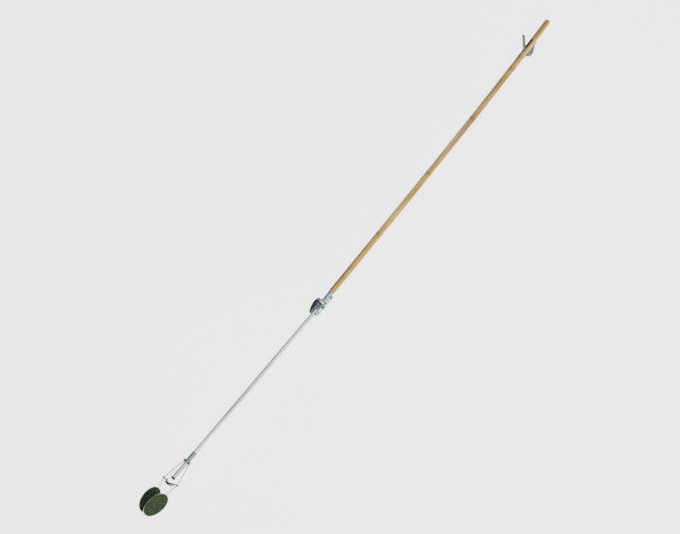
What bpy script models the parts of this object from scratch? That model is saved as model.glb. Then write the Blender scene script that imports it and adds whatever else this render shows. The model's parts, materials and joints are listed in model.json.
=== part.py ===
"""Folding long-reach pick-up pole: a bamboo handle with a squeeze trigger, a folding joint with a cam lock,
an aluminium lower tube and two sprung wire jaws that end in round padded discs.

Frame, in metres: X runs along the pole from the jaws to the top of the handle, Z is up, and the jaws open
along Y.
The pole lies with the discs' rims at Z = 0, and the origin is under the middle of its length."""

import math

import bmesh
import bpy
from mathutils import Matrix, Vector

# ---- driving dimensions ----
GAP = 0.0003                    # between pieces that touch
POLE_LENGTH = 2.2663            # disc tip to the top of the cane
DISC_RADIUS = 0.052
AXIS_HEIGHT = 0.0520            # of the disc centres and the cane's top end
JOINT_SAG = 0.030               # the folding joint lies this much lower

CANE_LENGTH = 1.235
CANE_RADIUS = 0.0112
CANE_BORE = 0.0065
CANE_BORE_END = 0.075           # solid bamboo left at the top
CANE_CURVE = 3.2                # power of the cane's upward curve
NODE_PLACES = (0.265, 0.543, 0.792, 1.018)   # bamboo nodes above the cane's lower end
PIVOT_TO_CANE = 0.062
FERRULE_RADIUS = 0.0095
SPIGOT_RADIUS = 0.0062
SPIGOT_LENGTH = 0.042

PIVOT_TO_PLATE = 0.820
PLATE_TO_DISC = 0.098
TUBE_RADIUS = 0.0080
TUBE_WALL = 0.0014
TUBE_TOP = -0.020               # along the lower pole, from the fold pivot
TUBE_END = -0.802
SLEEVE_TOP = -0.686
SLEEVE_END = -0.736
ARM_PIVOT_X = -0.731
ARM_PIVOT_Y = 0.0122

WIRE_RADIUS = 0.0010
EYELET_Y = 0.0330
LEG_SPREAD = 0.0060             # half the distance between a jaw's two legs at the disc
LEG_CLOSE = 0.0014              # the same through the eyelet
JAW_HALF_GAP = 0.0170           # disc mid-plane from the centre plane, at the disc's centre
JAW_ANGLE = math.radians(6.2)
CORE_THICKNESS = 0.0034
PAD_THICKNESS = 0.0012

PLATE_TILT = math.radians(8.0)  # the guide plate hangs askew on the wires, its +Y end nearer the discs
PLATE_DIP = 0.0085              # in the middle, the guide plate's top dips this much towards the discs
PLATE_BELLY = 0.0150            # and its underside this much
PLATE_HALF = 0.0388
PLATE_WIDTH = 0.0118            # half of it, at the middle
PLATE_THICKNESS = 0.0024        # at its ends
PLATE_FLAT_FROM = 0.0265        # from here out the plate is flat, where the eyelets sit

EXIT_X = -0.7680                # where the pull wire leaves the tube through its slot
EXIT_TURN = math.radians(-57)   # round the tube, from the top towards the +Y side
OUTER_WIRE = 0.0137             # how far from the tube's centre the wire then runs
EAR_INNER, EAR_OUTER = 0.0033, 0.0049        # the sleeve's ears, above and below the centre plane

BOLT_RADIUS = 0.0030
FORK_INNER, FORK_OUTER = 0.0090, 0.0116      # the fork's cheeks, from the centre plane
STOP_LOW, STOP_HIGH = FORK_OUTER + GAP, 0.0145   # the stop plate's faces
STOP_SCREW_X = -0.0262
STOP_SCREW_RADIUS = 0.0017
LOCK_PIN = (0.0115, 0.0190)
LOCK_PIN_RADIUS = 0.0018
LOCK_HALF = 0.0068
SPIGOT_PIN_PLACES = (0.014, 0.030)           # along the cane
SPIGOT_PIN_RADIUS = 0.0015
TUBE_RIVET_X = -0.036
TUBE_RIVET_RADIUS = 0.0016
PULL_WIRE = 0.00075                          # radius of both pull wires

TRIGGER_FROM_TOP = 0.138        # trigger pin, below the cane's top end
TRIGGER_PIN_Z = -0.024
TRIGGER_PIN_RADIUS = 0.0020
SLOT_WIDTH = 0.0070
SLOT_FROM_TOP = (0.090, 0.1440)
LEVER_HALF_THICKNESS = 0.0032
LEVER_HALF_WIDTH = 0.0046
LEVER_TIP = (0.0395, 0.0960)    # from the trigger pin, along the cane and out from it
LEVER_BEND = (0.0020, 0.0330)
BRACKET_SCREW_PLACES = (-0.0163, 0.0470)
BRACKET_FEET = (-0.0148, -0.0152)            # underside of the bracket's two screwed feet
BRACKET_SCREW_RADIUS = 0.0012

JAW_PIN_RADIUS = 0.0012
SIDES = (("near", -1), ("far", 1))           # near is -Y
LEVELS = (("upper", 1), ("lower", -1))
REACH = 0.03                    # how far a cutter runs past what it cuts

TOP_X = POLE_LENGTH / 2
CANE_X = TOP_X - CANE_LENGTH
PIVOT = Vector((CANE_X - PIVOT_TO_CANE, 0, AXIS_HEIGHT - JOINT_SAG))
LOWER_LENGTH = PIVOT_TO_PLATE + PLATE_TO_DISC
TUBE_SLOPE = math.asin(JOINT_SAG / LOWER_LENGTH)


def cane_lift(x):
    """How far the cane's centreline has risen, x along the cane from its lower end."""
    return JOINT_SAG * (max(x, 0.0) / CANE_LENGTH) ** CANE_CURVE


TRIGGER_X = CANE_LENGTH - TRIGGER_FROM_TOP
TRIGGER_SLOPE = math.atan2(cane_lift(TRIGGER_X + 0.02) - cane_lift(TRIGGER_X - 0.02), 0.04)

for old in list(bpy.data.objects):
    bpy.data.objects.remove(old, do_unlink=True)
parts = bpy.data.collections.new("boat_hook")
cutters = bpy.data.collections.new("cutters")
cutters.hide_render = True
for collection in (parts, cutters):
    bpy.context.scene.collection.children.link(collection)


def material(name, colour, metallic, roughness):
    made = bpy.data.materials.new(name)
    made.use_nodes = True
    shader = made.node_tree.nodes["Principled BSDF"]
    shader.inputs["Base Color"].default_value = (*colour, 1)
    shader.inputs["Metallic"].default_value = metallic
    shader.inputs["Roughness"].default_value = roughness
    return made


BAMBOO = ("bamboo", (0.55, 0.36, 0.13), 0.0, 0.45)
ZINC = ("zinc", (0.42, 0.48, 0.52), 1.0, 0.35)
BRIGHT = ("bright_plate", (0.62, 0.70, 0.68), 1.0, 0.35)
ALUMINIUM = ("aluminium", (0.75, 0.76, 0.77), 1.0, 0.28)
DISC_METAL = ("disc_metal", (0.66, 0.68, 0.66), 1.0, 0.35)
STEEL = ("spring_steel", (0.40, 0.41, 0.42), 1.0, 0.30)
TEAL = ("teal_paint", (0.035, 0.085, 0.09), 0.2, 0.40)
GREY_GREEN = ("grey_green_paint", (0.09, 0.12, 0.10), 0.2, 0.45)
DARK = ("dark_casting", (0.06, 0.07, 0.07), 0.7, 0.45)
FELT = ("green_felt", (0.022, 0.035, 0.015), 0.0, 0.95)


def frame(name, place, slope, parent=None):
    """An empty whose X axis runs along the pole there."""
    empty = bpy.data.objects.new(name, None)
    empty.location = place
    empty.rotation_euler = (0, slope, 0)
    empty.parent = parent
    parts.objects.link(empty)
    return empty


def finish(obj, name, look, parent, location=(0, 0, 0), rotation=(0, 0, 0), smooth=True):
    obj.name = name
    obj.data.name = name
    obj.parent = parent
    obj.location = location
    obj.rotation_euler = rotation
    for collection in list(obj.users_collection):
        collection.objects.unlink(obj)
    (cutters if look is None else parts).objects.link(obj)
    if look is None:
        obj.hide_render = True
        obj.display_type = "WIRE"
        return obj
    obj.data.materials.clear()
    obj.data.materials.append(material(name, *look[1:]))
    if smooth and obj.type == "MESH":
        obj.data.shade_smooth()
        obj.data.set_sharp_from_angle(angle=math.radians(35))
    return obj


def from_bmesh(bm, name, look, parent, **place):
    bmesh.ops.recalc_face_normals(bm, faces=bm.faces)
    mesh = bpy.data.meshes.new(name)
    bm.to_mesh(mesh)
    bm.free()
    obj = bpy.data.objects.new(name, mesh)
    return finish(obj, name, look, parent, **place)


def block(name, look, parent, low, high, bevel=0.0, **place):
    """A box between two corners, given in its parent's frame."""
    bm = bmesh.new()
    bmesh.ops.create_cube(bm, size=1.0)
    low, high = Vector(low), Vector(high)
    bmesh.ops.scale(bm, vec=high - low, verts=bm.verts)
    bmesh.ops.translate(bm, vec=(low + high) / 2, verts=bm.verts)
    obj = from_bmesh(bm, name, look, parent, **place)
    if bevel:
        rounding = obj.modifiers.new("Rounding", "BEVEL")
        rounding.width = bevel
        rounding.segments = 2
    return obj


TURN = {"X": Matrix.Rotation(math.radians(90), 4, "Y"), "Y": Matrix.Rotation(math.radians(-90), 4, "X"),
        "Z": Matrix.Identity(4)}


def rod(name, look, parent, axis, centre, radius, start, end, sides=20, **place):
    """A round bar along an axis, from start to end along it, through centre."""
    bm = bmesh.new()
    bmesh.ops.create_cone(bm, cap_ends=True, segments=sides, radius1=radius, radius2=radius,
                          depth=end - start)
    bmesh.ops.transform(bm, matrix=TURN[axis], verts=bm.verts)
    along = {"X": (1, 0, 0), "Y": (0, 1, 0), "Z": (0, 0, 1)}[axis]
    bmesh.ops.translate(bm, vec=Vector(centre) + Vector(along) * (start + end) / 2, verts=bm.verts)
    return from_bmesh(bm, name, look, parent, **place)


def hole(name, parent, axis, centre, radius, start=-REACH, end=REACH, sides=12):
    """A cutter for a round hole that clears a pin of that radius."""
    return rod(name, None, parent, axis, centre, radius + GAP, start, end, sides)


def evaluated_mesh(obj):
    bpy.context.view_layer.update()
    return bpy.data.meshes.new_from_object(obj.evaluated_get(bpy.context.evaluated_depsgraph_get()))


def turned(name, look, parent, profile, axis="X", steps=24, shape=None, **place):
    """A closed profile of (along, radius) points turned about an axis. shape may move the finished points."""
    bm = bmesh.new()
    ring = [bm.verts.new((radius, 0, along)) for along, radius in profile]
    for first, second in zip(ring, ring[1:] + ring[:1]):
        bm.edges.new((first, second))
    mesh = bpy.data.meshes.new(name)
    bm.to_mesh(mesh)
    bm.free()
    draft = bpy.data.objects.new(name + "_profile", mesh)
    parts.objects.link(draft)
    screw = draft.modifiers.new("Turn", "SCREW")
    screw.steps = screw.render_steps = steps
    screw.use_merge_vertices = True
    screw.merge_threshold = 0.00001
    solid = bmesh.new()
    solid.from_mesh(evaluated_mesh(draft))
    bpy.data.objects.remove(draft)
    bmesh.ops.remove_doubles(solid, verts=solid.verts, dist=0.000001)
    bmesh.ops.transform(solid, matrix=TURN[axis], verts=solid.verts)
    for vertex in solid.verts:
        if shape:
            vertex.co = shape(vertex.co)
    return from_bmesh(solid, name, look, parent, **place)


def wire(name, look, parent, points, radius, resolution=2, **place):
    """A round wire through points, as a closed mesh."""
    data = bpy.data.curves.new(name, "CURVE")
    data.dimensions = "3D"
    data.bevel_depth = radius
    data.bevel_resolution = resolution
    data.use_fill_caps = True
    spline = data.splines.new("POLY")
    spline.points.add(len(points) - 1)
    for point, place_of in zip(spline.points, points):
        point.co = (*place_of, 1)
    draft = bpy.data.objects.new(name + "_path", data)
    parts.objects.link(draft)
    bm = bmesh.new()
    bm.from_mesh(evaluated_mesh(draft))
    bpy.data.objects.remove(draft)
    bmesh.ops.remove_doubles(bm, verts=bm.verts, dist=0.00001)
    return from_bmesh(bm, name, look, parent, **place)


def outline(name, look, parent, points, plane, low, high, bevel=0.0, **place):
    """A flat outline in the XY or XZ plane, extruded from low to high along the third axis."""
    data = bpy.data.curves.new(name, "CURVE")
    data.dimensions = "2D"
    data.fill_mode = "BOTH"
    data.extrude = (high - low) / 2
    spline = data.splines.new("POLY")
    spline.points.add(len(points) - 1)
    for point, (across, up) in zip(spline.points, points):
        point.co = (across, up, 0, 1)
    spline.use_cyclic_u = True
    draft = bpy.data.objects.new(name + "_outline", data)
    parts.objects.link(draft)
    bm = bmesh.new()
    bm.from_mesh(evaluated_mesh(draft))
    bpy.data.objects.remove(draft)
    bmesh.ops.remove_doubles(bm, verts=bm.verts, dist=0.00001)
    bmesh.ops.translate(bm, vec=(0, 0, (low + high) / 2), verts=bm.verts)
    if plane == "XZ":
        for vertex in bm.verts:
            vertex.co = Vector((vertex.co.x, vertex.co.z, vertex.co.y))
    obj = from_bmesh(bm, name, look, parent, **place)
    if bevel:
        rounding = obj.modifiers.new("Rounding", "BEVEL")
        rounding.width = bevel
        rounding.segments = 1
        rounding.limit_method = "ANGLE"
    return obj


def arc(centre, radius, start, end, steps=6):
    """Points on an arc, in degrees, for an outline."""
    angles = [math.radians(start + (end - start) * i / steps) for i in range(steps + 1)]
    return [(centre[0] + radius * math.cos(a), centre[1] + radius * math.sin(a)) for a in angles]


def combine(obj, other, how="DIFFERENCE"):
    boolean = obj.modifiers.new(other.name, "BOOLEAN")
    boolean.operation = how
    boolean.solver = "EXACT"
    boolean.object = other


def cut(obj, *others):
    for other in others:
        combine(obj, other)


def join(obj, *others):
    for other in others:
        combine(obj, other, "UNION")


handle = frame("handle_frame", PIVOT, 0)
cane_frame = frame("cane_frame", (PIVOT_TO_CANE, 0, 0), 0, handle)
trigger = frame("trigger_frame", (TRIGGER_X, 0, cane_lift(TRIGGER_X)), -TRIGGER_SLOPE, cane_frame)
lower = frame("lower_frame", PIVOT, TUBE_SLOPE)


def riveted(half, radius, head):
    """The profile of a pin with a low domed head at each end. half is half the length between the heads."""
    end = [(half + head, 0), (half + 0.85 * head, 0.8 * radius + 0.0004), (half, radius + 0.0008)]
    end.append((half, radius))
    return end + [(-along, size) for along, size in reversed(end)]


# ---- handle ----
def make_cane():
    def shape(point):
        return Vector((point.x, point.y, point.z + cane_lift(point.x)))

    length, radius = CANE_LENGTH, CANE_RADIUS
    outer = [(length, 0), (length - 0.0015, 0.55 * radius), (length - 0.0055, 0.86 * radius)]
    outer.append((length - 0.012, 0.97 * radius))
    stations = [(length * i / 14, radius) for i in range(13, 0, -1)]
    for place in NODE_PLACES:
        stations += [(place + 0.009, radius), (place + 0.0022, radius + 0.0008), (place, radius - 0.0001),
                     (place - 0.0022, radius + 0.0004), (place - 0.008, radius)]
    stations = [s for s in stations if all(abs(s[0] - p) < 0.010 or s[1] == radius for p in NODE_PLACES)]
    outer += sorted(stations, reverse=True) + [(0.0006, radius), (0, radius - 0.0006)]
    bore = [(0, CANE_BORE)] + [((length - CANE_BORE_END) * i / 8, CANE_BORE) for i in range(1, 9)]
    profile = outer + bore + [(length - CANE_BORE_END, 0)]
    cane = turned("cane", BAMBOO, cane_frame, profile, steps=16, shape=shape)
    low, high = (TRIGGER_FROM_TOP - d for d in reversed(SLOT_FROM_TOP))
    slot = block("slot_cutter", None, trigger, (low, -SLOT_WIDTH / 2, -REACH), (high, SLOT_WIDTH / 2, REACH),
                 0.0015)
    cut(cane, slot)
    for index, x in enumerate(SPIGOT_PIN_PLACES):
        cut(cane, hole(f"pin_hole_{index}", cane_frame, "Y", (x, 0, 0), SPIGOT_PIN_RADIUS))
    for index, x in enumerate(BRACKET_SCREW_PLACES):
        cut(cane, hole(f"screw_hole_{index}", trigger, "Z", (x, 0, 0), BRACKET_SCREW_RADIUS, end=-0.004))


def make_ferrule():
    spigot_top = PIVOT_TO_CANE + SPIGOT_LENGTH
    shoulder = PIVOT_TO_CANE - GAP
    radius, bore, bead = FERRULE_RADIUS, 0.0026, 0.0005
    profile = [(spigot_top, bore), (spigot_top, SPIGOT_RADIUS - 0.0008), (spigot_top - 0.001, SPIGOT_RADIUS)]
    profile += [(shoulder, SPIGOT_RADIUS), (shoulder, radius - 0.0006), (shoulder - 0.0006, radius)]
    profile += [(0.056, radius), (0.0553, radius + bead), (0.0527, radius + bead), (0.052, radius)]
    profile += [(0.0205, radius), (0.0205, bore)]
    ferrule = turned("ferrule", ZINC, handle, profile, steps=24)
    for index, x in enumerate(SPIGOT_PIN_PLACES):
        cut(ferrule, hole(f"spigot_hole_{index}", cane_frame, "Y", (x, 0, 0), SPIGOT_PIN_RADIUS))
        shape = riveted(CANE_RADIUS + 0.00035, SPIGOT_PIN_RADIUS, 0.0006)
        pin = turned(f"ferrule_pin_{index + 1}", ZINC, cane_frame, shape, axis="Y", steps=12,
                     location=(x, 0, 0))
        cut(pin, hole(f"pin_wire_hole_{index}", cane_frame, "X", (0, 0, 0), PULL_WIRE, end=0.06))


def make_fork():
    """The U-shaped bracket on the ferrule, with a cheek on each side of the tube's tongue."""
    fork = block("fold_bracket", ZINC, handle, (-0.0120, -FORK_OUTER, -0.0105), (0.0202, FORK_OUTER, 0.0105))
    gap = block("fork_gap", None, handle, (-0.02, -FORK_INNER, -0.02), (0.0150, FORK_INNER, 0.02))
    bolt_hole = hole("fork_bolt_hole", handle, "Y", (0, 0, 0), BOLT_RADIUS, sides=20)
    wire_hole = rod("fork_wire_hole", None, handle, "X", (0, 0, 0), 0.0022, 0.0, 0.03, 16)
    rounding = fork.modifiers.new("Rounding", "BEVEL")
    rounding.width = 0.0022
    rounding.segments = 2
    cut(fork, gap, bolt_hole, wire_hole)
    x, y = LOCK_PIN
    for level, up in LEVELS:
        low, high = sorted((up * (LOCK_HALF + GAP), up * 0.0096))
        join(fork, block(f"lock_ear_{level}", None, handle, (x - 0.0042, 0.0095, low),
                         (x + 0.0042, y + 0.0042, high), 0.0006))
    cut(fork, hole("ear_pin_hole", handle, "Z", (x, y, 0), LOCK_PIN_RADIUS, sides=16))


def make_lock():
    """The lock lever on the +Y side, pinned between two ears of the fork over the head of the pivot bolt."""
    pivot = frame("lock_pivot", (*LOCK_PIN, 0), 0, handle)
    inner = [(-0.0035, -0.0066), (-0.0535, -0.0062), (-0.0555, -0.0058), (-0.0565, -0.0042)]
    inner.append((-0.0530, -0.0012))
    outer = [(-0.0445, 0.0035), (-0.0325, 0.0078), (-0.0205, 0.0106), (-0.0115, 0.0108), (-0.0035, 0.0088)]
    points = inner + outer + arc((0, 0), 0.0070, 50, -90, 8)
    lever = outline("cam_lock_lever", TEAL, pivot, points, "XY", -LOCK_HALF, LOCK_HALF, 0.0010)
    head_pocket = block("bolt_head_pocket", None, handle, (-0.0068, 0.0050, -0.0052),
                        (0.0068, 0.0165, 0.0052))
    pin_hole = hole("lever_pin_hole", pivot, "Z", (0, 0, 0), LOCK_PIN_RADIUS, sides=16)
    thumb = rod("lever_thumb_dish", None, pivot, "Z", (-0.0485, 0.0285, 0), 0.0250, -REACH, REACH, 28)
    cut(lever, head_pocket, pin_hole, thumb)
    turned("lock_lever_pin", ZINC, handle, riveted(0.0099, LOCK_PIN_RADIUS, 0.0005), axis="Z", steps=16,
           location=(*LOCK_PIN, 0))
    head = FORK_OUTER + GAP
    profile = [(head + 0.0024, 0), (head + 0.0022, 0.0036), (head + 0.0014, 0.0050), (head, 0.0050),
               (head, BOLT_RADIUS), (-0.0188, BOLT_RADIUS), (-0.0194, BOLT_RADIUS - 0.0004), (-0.0200, 0)]
    turned("pivot_bolt", ZINC, handle, profile, axis="Y", steps=20)
    nut = rod("pivot_nut", ZINC, handle, "Y", (0, 0, 0), 0.0060, -STOP_HIGH - 0.0046, -STOP_HIGH - 0.0010, 6)
    cut(nut, hole("nut_hole", handle, "Y", (0, 0, 0), BOLT_RADIUS, end=0, sides=20))
    washer = rod("pivot_washer", BRIGHT, handle, "Y", (0, 0, 0), 0.0072, -STOP_HIGH - 0.0008,
                 -STOP_HIGH - 0.0002, 20)
    cut(washer, hole("washer_hole", handle, "Y", (0, 0, 0), BOLT_RADIUS, end=0, sides=20))


def make_trigger():
    """The wedge-shaped bracket under the cane, and the lever that rises from it through the slot."""
    low_foot, high_foot = BRACKET_FEET
    wedge = [(-0.0205, -0.0065), (-0.0205, low_foot), (-0.0122, low_foot), (-0.0035, -0.0376)]
    wedge += [(-0.0015, -0.0386), (0.0125, -0.0386), (0.0160, -0.0368), (0.0425, high_foot)]
    wedge += [(0.0515, high_foot), (0.0515, -0.0065)]
    bracket = outline("trigger_bracket", TEAL, trigger, wedge, "XZ", -0.0065, 0.0065, 0.0006)
    saddle = rod("bracket_saddle", None, trigger, "X", (0, 0, 0.0004), CANE_RADIUS + 0.0005, -0.05, 0.09, 40)
    half_slot = SLOT_WIDTH / 2
    channel = block("bracket_channel", None, trigger, (-0.0085, -half_slot, -0.05), (0.0395, half_slot, 0.0))
    pin_hole = hole("bracket_pin_hole", trigger, "Y", (0, 0, TRIGGER_PIN_Z), TRIGGER_PIN_RADIUS, sides=16)
    cut(bracket, saddle, channel, pin_hole)
    for index, x in enumerate(BRACKET_SCREW_PLACES):
        cut(bracket, hole(f"bracket_screw_hole_{index}", trigger, "Z", (x, 0, 0), BRACKET_SCREW_RADIUS, end=0))
    turned("trigger_pin", ZINC, trigger, riveted(0.0069, TRIGGER_PIN_RADIUS, 0.0009), axis="Y", steps=16,
           location=(0, 0, TRIGGER_PIN_Z))

    pivot = frame("trigger_pivot", (0, 0, TRIGGER_PIN_Z), 0, trigger)
    half = LEVER_HALF_WIDTH
    reach, bend = Vector(LEVER_TIP), Vector(LEVER_BEND)
    along = (reach - bend).normalized()
    side = Vector((-along.y, along.x)) * half
    angle = math.degrees(math.atan2(along.y, along.x))
    tip = reach - along * half
    points = arc((0, 0), half, 185, 355, 8) + [tuple(bend + Vector((half * 1.15, -0.0016)))]
    points += arc(tuple(tip), half, angle - 90, angle + 90, 8) + [tuple(bend + side * 1.05)]
    lever = outline("trigger_lever", GREY_GREEN, pivot, points, "XZ", -LEVER_HALF_THICKNESS,
                    LEVER_HALF_THICKNESS, 0.0008)
    cut(lever, hole("lever_bore", pivot, "Y", (0, 0, 0), TRIGGER_PIN_RADIUS, sides=16),
        hole("lever_wire_hole", pivot, "X", (0, 0, -TRIGGER_PIN_Z), PULL_WIRE))


def make_screws():
    for index, (x, foot) in enumerate(zip(BRACKET_SCREW_PLACES, BRACKET_FEET)):
        seat = foot - GAP
        profile = [(-0.0078, 0), (-0.0090, BRACKET_SCREW_RADIUS), (seat + 0.0001, BRACKET_SCREW_RADIUS),
                   (seat, 0.0026), (seat - 0.0012, 0.0022), (seat - 0.0016, 0)]
        turned(f"bracket_screw_{index + 1}", ZINC, trigger, profile, axis="Z", steps=12, location=(x, 0, 0))


def make_slot_band():
    """A thin metal band round the cane below the slot, which keeps the bamboo from splitting."""
    x = TRIGGER_X - 0.0260
    radius = CANE_RADIUS + GAP
    profile = [(0.0030, radius), (0.0030, radius + 0.0003), (0.0022, radius + 0.0008),
               (-0.0022, radius + 0.0008), (-0.0030, radius + 0.0003), (-0.0030, radius)]
    turned("slot_band", BRIGHT, cane_frame, profile, steps=24, location=(x, 0, cane_lift(x)),
           rotation=(0, -TRIGGER_SLOPE, 0))


def make_upper_wire():
    """The pull wire in the handle, from the folding joint to the trigger lever, and the spring on it."""
    start, end = 0.0106, PIVOT_TO_CANE + TRIGGER_X - 0.0052
    count = 18
    points = []
    for index in range(count + 1):
        x = start + (end - start) * index / count
        points.append((x, 0, cane_lift(x - PIVOT_TO_CANE)))
    wire("upper_pull_wire", STEEL, handle, points, PULL_WIRE)
    turns, per_turn, pitch, radius = 6, 8, 0.0056, 0.0042
    low = TRIGGER_X - 0.0700
    coil = []
    for index in range(turns * per_turn + 1):
        angle = 2 * math.pi * index / per_turn
        x = low + pitch * index / per_turn
        coil.append((x, radius * math.cos(angle), radius * math.sin(angle) + cane_lift(x)))
    wire("return_spring", STEEL, cane_frame, coil, 0.0005, 1)
    stop_x = low + pitch * turns + 0.0015
    turned("spring_collar", ZINC, cane_frame,
           [(0.002, 0.00105), (0.002, 0.0040), (0.0014, 0.0048), (-0.0004, 0.0048), (-0.0004, 0.00105)],
           steps=16, location=(stop_x, 0, cane_lift(stop_x)), rotation=(0, -TRIGGER_SLOPE, 0))


# ---- lower pole ----
def make_tongue():
    """The tongue that turns in the fork, with a shank that is pinned inside the tube."""
    tongue = outline("tube_tongue", ZINC, lower, arc((0, 0), 0.0088, 90, -90, 10)
                     + [(TUBE_TOP + 0.0003, -0.0088), (TUBE_TOP + 0.0003, 0.0088)], "XZ",
                     -FORK_INNER + GAP, FORK_INNER - GAP, 0.0006)
    shank = rod("tongue_shank", None, lower, "X", (0, 0, 0), TUBE_RADIUS - TUBE_WALL - GAP, -0.050, -0.010)
    join(tongue, shank)
    cut(tongue, hole("tongue_bolt_hole", lower, "Y", (0, 0, 0), BOLT_RADIUS, sides=20),
        hole("tongue_wire_hole", lower, "X", (0, 0, 0), 2 * PULL_WIRE, start=-0.07),
        hole("tongue_rivet_hole", lower, "Y", (TUBE_RIVET_X, 0, 0), TUBE_RIVET_RADIUS))


def make_tube():
    inner = TUBE_RADIUS - TUBE_WALL
    profile = [(TUBE_TOP, inner), (TUBE_TOP, TUBE_RADIUS - 0.0003), (TUBE_TOP - 0.0003, TUBE_RADIUS),
               (TUBE_END + 0.0003, TUBE_RADIUS), (TUBE_END, TUBE_RADIUS - 0.0003), (TUBE_END, inner)]
    tube = turned("lower_tube", ALUMINIUM, lower, profile, steps=28)
    cut(tube, hole("tube_rivet_hole", lower, "Y", (TUBE_RIVET_X, 0, 0), TUBE_RIVET_RADIUS),
        hole("tube_screw_hole", lower, "Y", (STOP_SCREW_X, 0, 0), STOP_SCREW_RADIUS, end=0),
        block("wire_exit_slot", None, lower, (-0.0200, -0.0022, 0.0020), (0.0165, 0.0022, 0.0140), 0.0,
              location=(EXIT_X, 0, 0), rotation=(EXIT_TURN, 0, 0)))
    rivet = turned("tube_rivet", ZINC, lower, riveted(TUBE_RADIUS + GAP, TUBE_RIVET_RADIUS, 0.0011), axis="Y",
                   steps=12, location=(TUBE_RIVET_X, 0, 0))
    cut(rivet, hole("rivet_wire_hole", lower, "X", (0, 0, 0), PULL_WIRE, start=-0.06, end=0))
    profile = [(TUBE_END + 0.014, 0.0016), (TUBE_END + 0.014, inner - GAP), (TUBE_END - GAP, inner - GAP),
               (TUBE_END - GAP, TUBE_RADIUS + 0.0006), (TUBE_END - 0.0080, TUBE_RADIUS + 0.0006),
               (TUBE_END - 0.0090, TUBE_RADIUS - 0.0006), (TUBE_END - 0.0090, 0.0016)]
    turned("tube_end_plug", DARK, lower, profile, steps=20)


def make_stop_plate():
    """The bright plate on the -Y side. Its tail runs beside the ferrule and hooks under it."""
    points = [(0.0520, -0.0118), (0.0545, -0.0095), (0.0535, -0.0045), (0.0500, -0.0020), (0.0200, -0.0015)]
    points += [(0.0120, 0.0040)] + arc((0, 0), 0.0108, 60, 90, 3)
    points += [(-0.0270, 0.0108), (-0.0370, 0.0075), (-0.0425, 0.0010), (-0.0415, -0.0050)]
    points.append((-0.0330, -0.0108))
    points += [(0.0100, -0.0108), (0.0200, -0.0105), (0.0400, -0.0118)]
    plate = outline("stop_plate", BRIGHT, lower, points, "XZ", -STOP_HIGH, -STOP_LOW, 0.0005)
    join(plate, block("stop_hook", None, lower, (0.0400, 0.0001 - STOP_HIGH, -0.0120),
                      (0.0510, -0.0020, -0.0094)))
    screw_place = (STOP_SCREW_X, 0, 0)
    cut(plate, hole("plate_bolt_hole", lower, "Y", (0, 0, 0), BOLT_RADIUS, end=0, sides=20),
        hole("plate_screw_hole", lower, "Y", screw_place, STOP_SCREW_RADIUS, end=0))
    spacer = rod("plate_spacer", ZINC, lower, "Y", screw_place, 0.0052, GAP - STOP_LOW,
                 -TUBE_RADIUS - 0.0005, 16)
    cut(spacer, hole("spacer_hole", lower, "Y", screw_place, STOP_SCREW_RADIUS, end=0))
    seat = -STOP_HIGH - 0.0001
    profile = [(-0.0070, 0), (-0.0070, STOP_SCREW_RADIUS), (seat, STOP_SCREW_RADIUS), (seat, 0.0036),
               (-0.0152, 0.0036), (-0.0164, 0.0022), (-0.0166, 0)]
    turned("plate_screw", ZINC, lower, profile, axis="Y", steps=14, location=screw_place)


def around(radius, turn=EXIT_TURN):
    """The (y, z) of a point at a radius from the tube's centre, on the side where the pull wire leaves."""
    return -radius * math.sin(turn), radius * math.cos(turn)


def make_lower_wire(slider):
    """The pull wire in the tube. It leaves through the slot and ends in a nut on the guide plate."""
    inside = [(TUBE_TOP - 0.0025 - 0.0440 * i, 0, 0) for i in range(17)]
    steps = 8
    bend = []
    for index in range(steps + 1):
        t = index / steps
        bend.append((EXIT_X + 0.0050 - 0.0230 * t, *around(OUTER_WIRE * (0.5 - 0.5 * math.cos(math.pi * t)))))
    end = [(-0.8050, *around(OUTER_WIRE)), (-0.8400, *around(OUTER_WIRE))]
    origin = Vector((-PIVOT_TO_PLATE, 0, 0))
    points = [tuple(Vector(p) - origin) for p in inside + bend + end]
    wire("lower_pull_wire", STEEL, slider, points, PULL_WIRE)
    place = (0, *around(OUTER_WIRE))
    nut = rod("pull_wire_nut", DARK, slider, "X", place, 0.0027, -0.0042, 0.0, 6)
    cut(nut, hole("pull_nut_hole", slider, "X", place, PULL_WIRE))
    stop = rod("pull_wire_ferrule", ZINC, slider, "X", place, 0.0019, -0.0192, -0.0152, 12)
    cut(stop, hole("pull_ferrule_hole", slider, "X", place, PULL_WIRE))


def eyelet_place(sign):
    """The middle of an eyelet, from the middle of the guide plate."""
    return Vector((-sign * EYELET_Y * math.sin(PLATE_TILT), sign * EYELET_Y * math.cos(PLATE_TILT), 0))


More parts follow.
